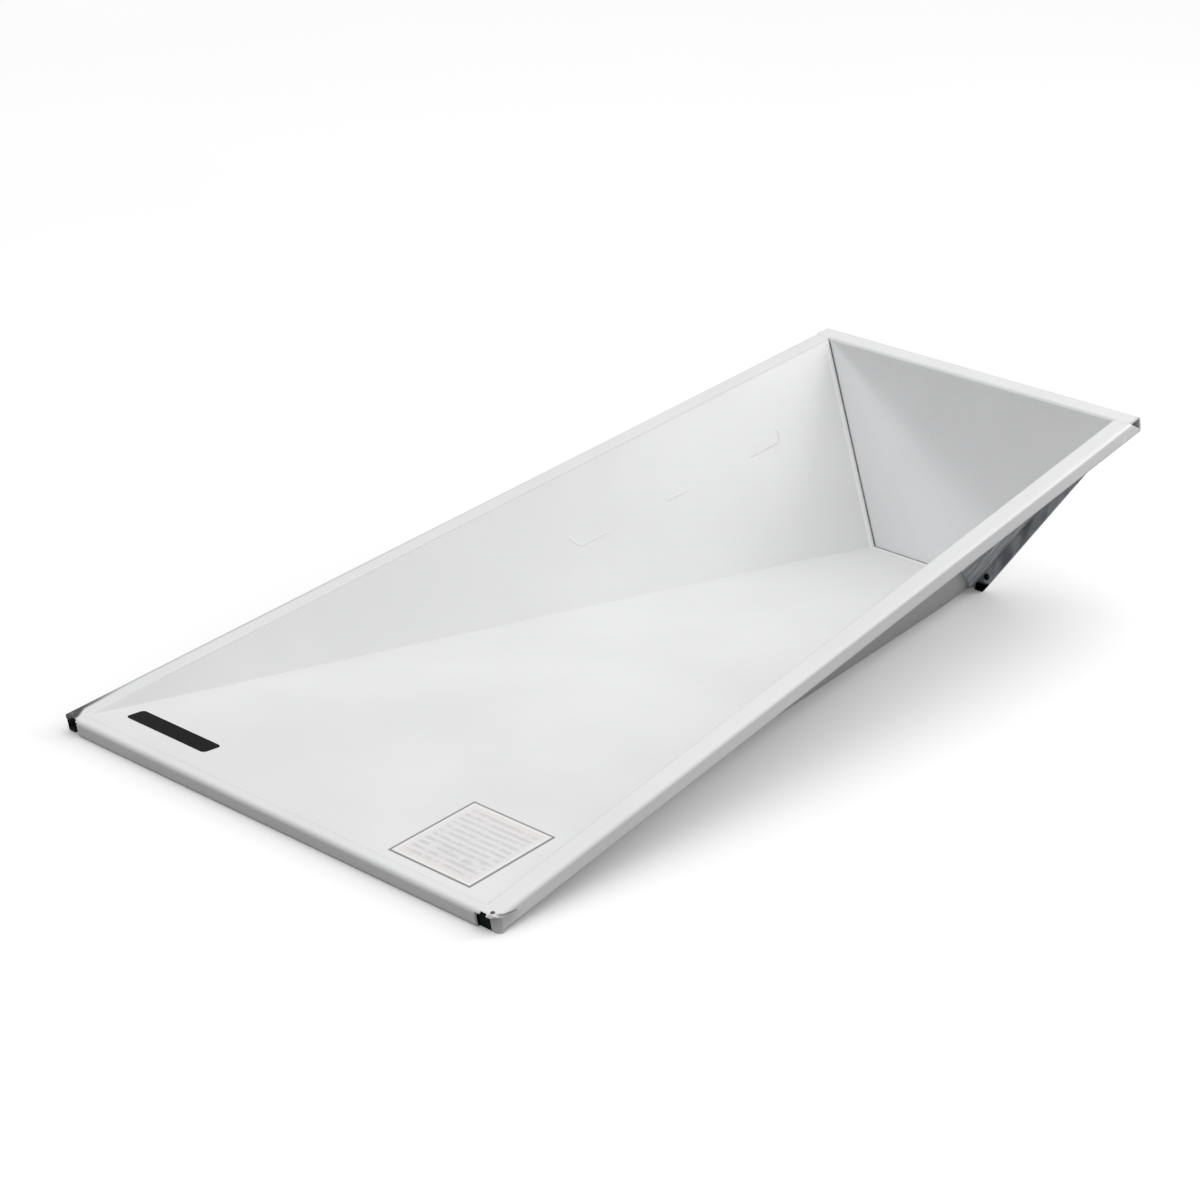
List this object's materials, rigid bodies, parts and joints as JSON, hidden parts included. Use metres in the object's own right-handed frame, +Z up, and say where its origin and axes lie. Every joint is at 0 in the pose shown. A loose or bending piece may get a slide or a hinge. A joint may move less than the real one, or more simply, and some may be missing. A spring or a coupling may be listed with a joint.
{
  "type": "pole vault planting box",
  "caption": "White folded sheet steel trough with a sloping floor, flared side walls, upright stop board and turned-down rims, resting on a floor.",
  "frame": {"origin": "centre of the object's footprint box, on the floor that the box rests on", "axes": "+Y runs from the open front edge to the stop board, +X to the right seen from the front, +Z up; the box lies on its front skirt and the foot of its stop board, so its rim plane rises towards +Y by 10.9 degrees"},
  "size_m": [0.6469, 1.0982, 0.2286],
  "materials": {
    "white_paint": "semi-gloss white powder coat",
    "board_paint": "semi-gloss white powder coat, fine orange peel",
    "seal": "matt dark grey sealant",
    "dark_paint": "dark slate primer, satin",
    "weld_paint": "painted over weld beads",
    "fastener_black": "black oxide, satin",
    "zinc": "zinc plated",
    "tack_weld": "bare weld with light rust",
    "label": "printed vinyl, matt",
    "marking": "black vinyl, satin"
  },
  "bodies": {
    "root": {"pan": "white_paint", "stop_board": "board_paint", "board_seal": "seal", "rear_bracket_left": "dark_paint", "rear_bracket_right": "dark_paint", "wall_doubler_left": "white_paint", "wall_doubler_right": "white_paint", "doubler_welds_left": "weld_paint", "doubler_welds_right": "weld_paint", "bracket_screws": "fastener_black", "bracket_washers": "zinc", "bracket_nuts": "zinc", "corner_tack_weld": "tack_weld", "instruction_label": "label", "front_marking": "marking"}
  },
  "joints": []
}
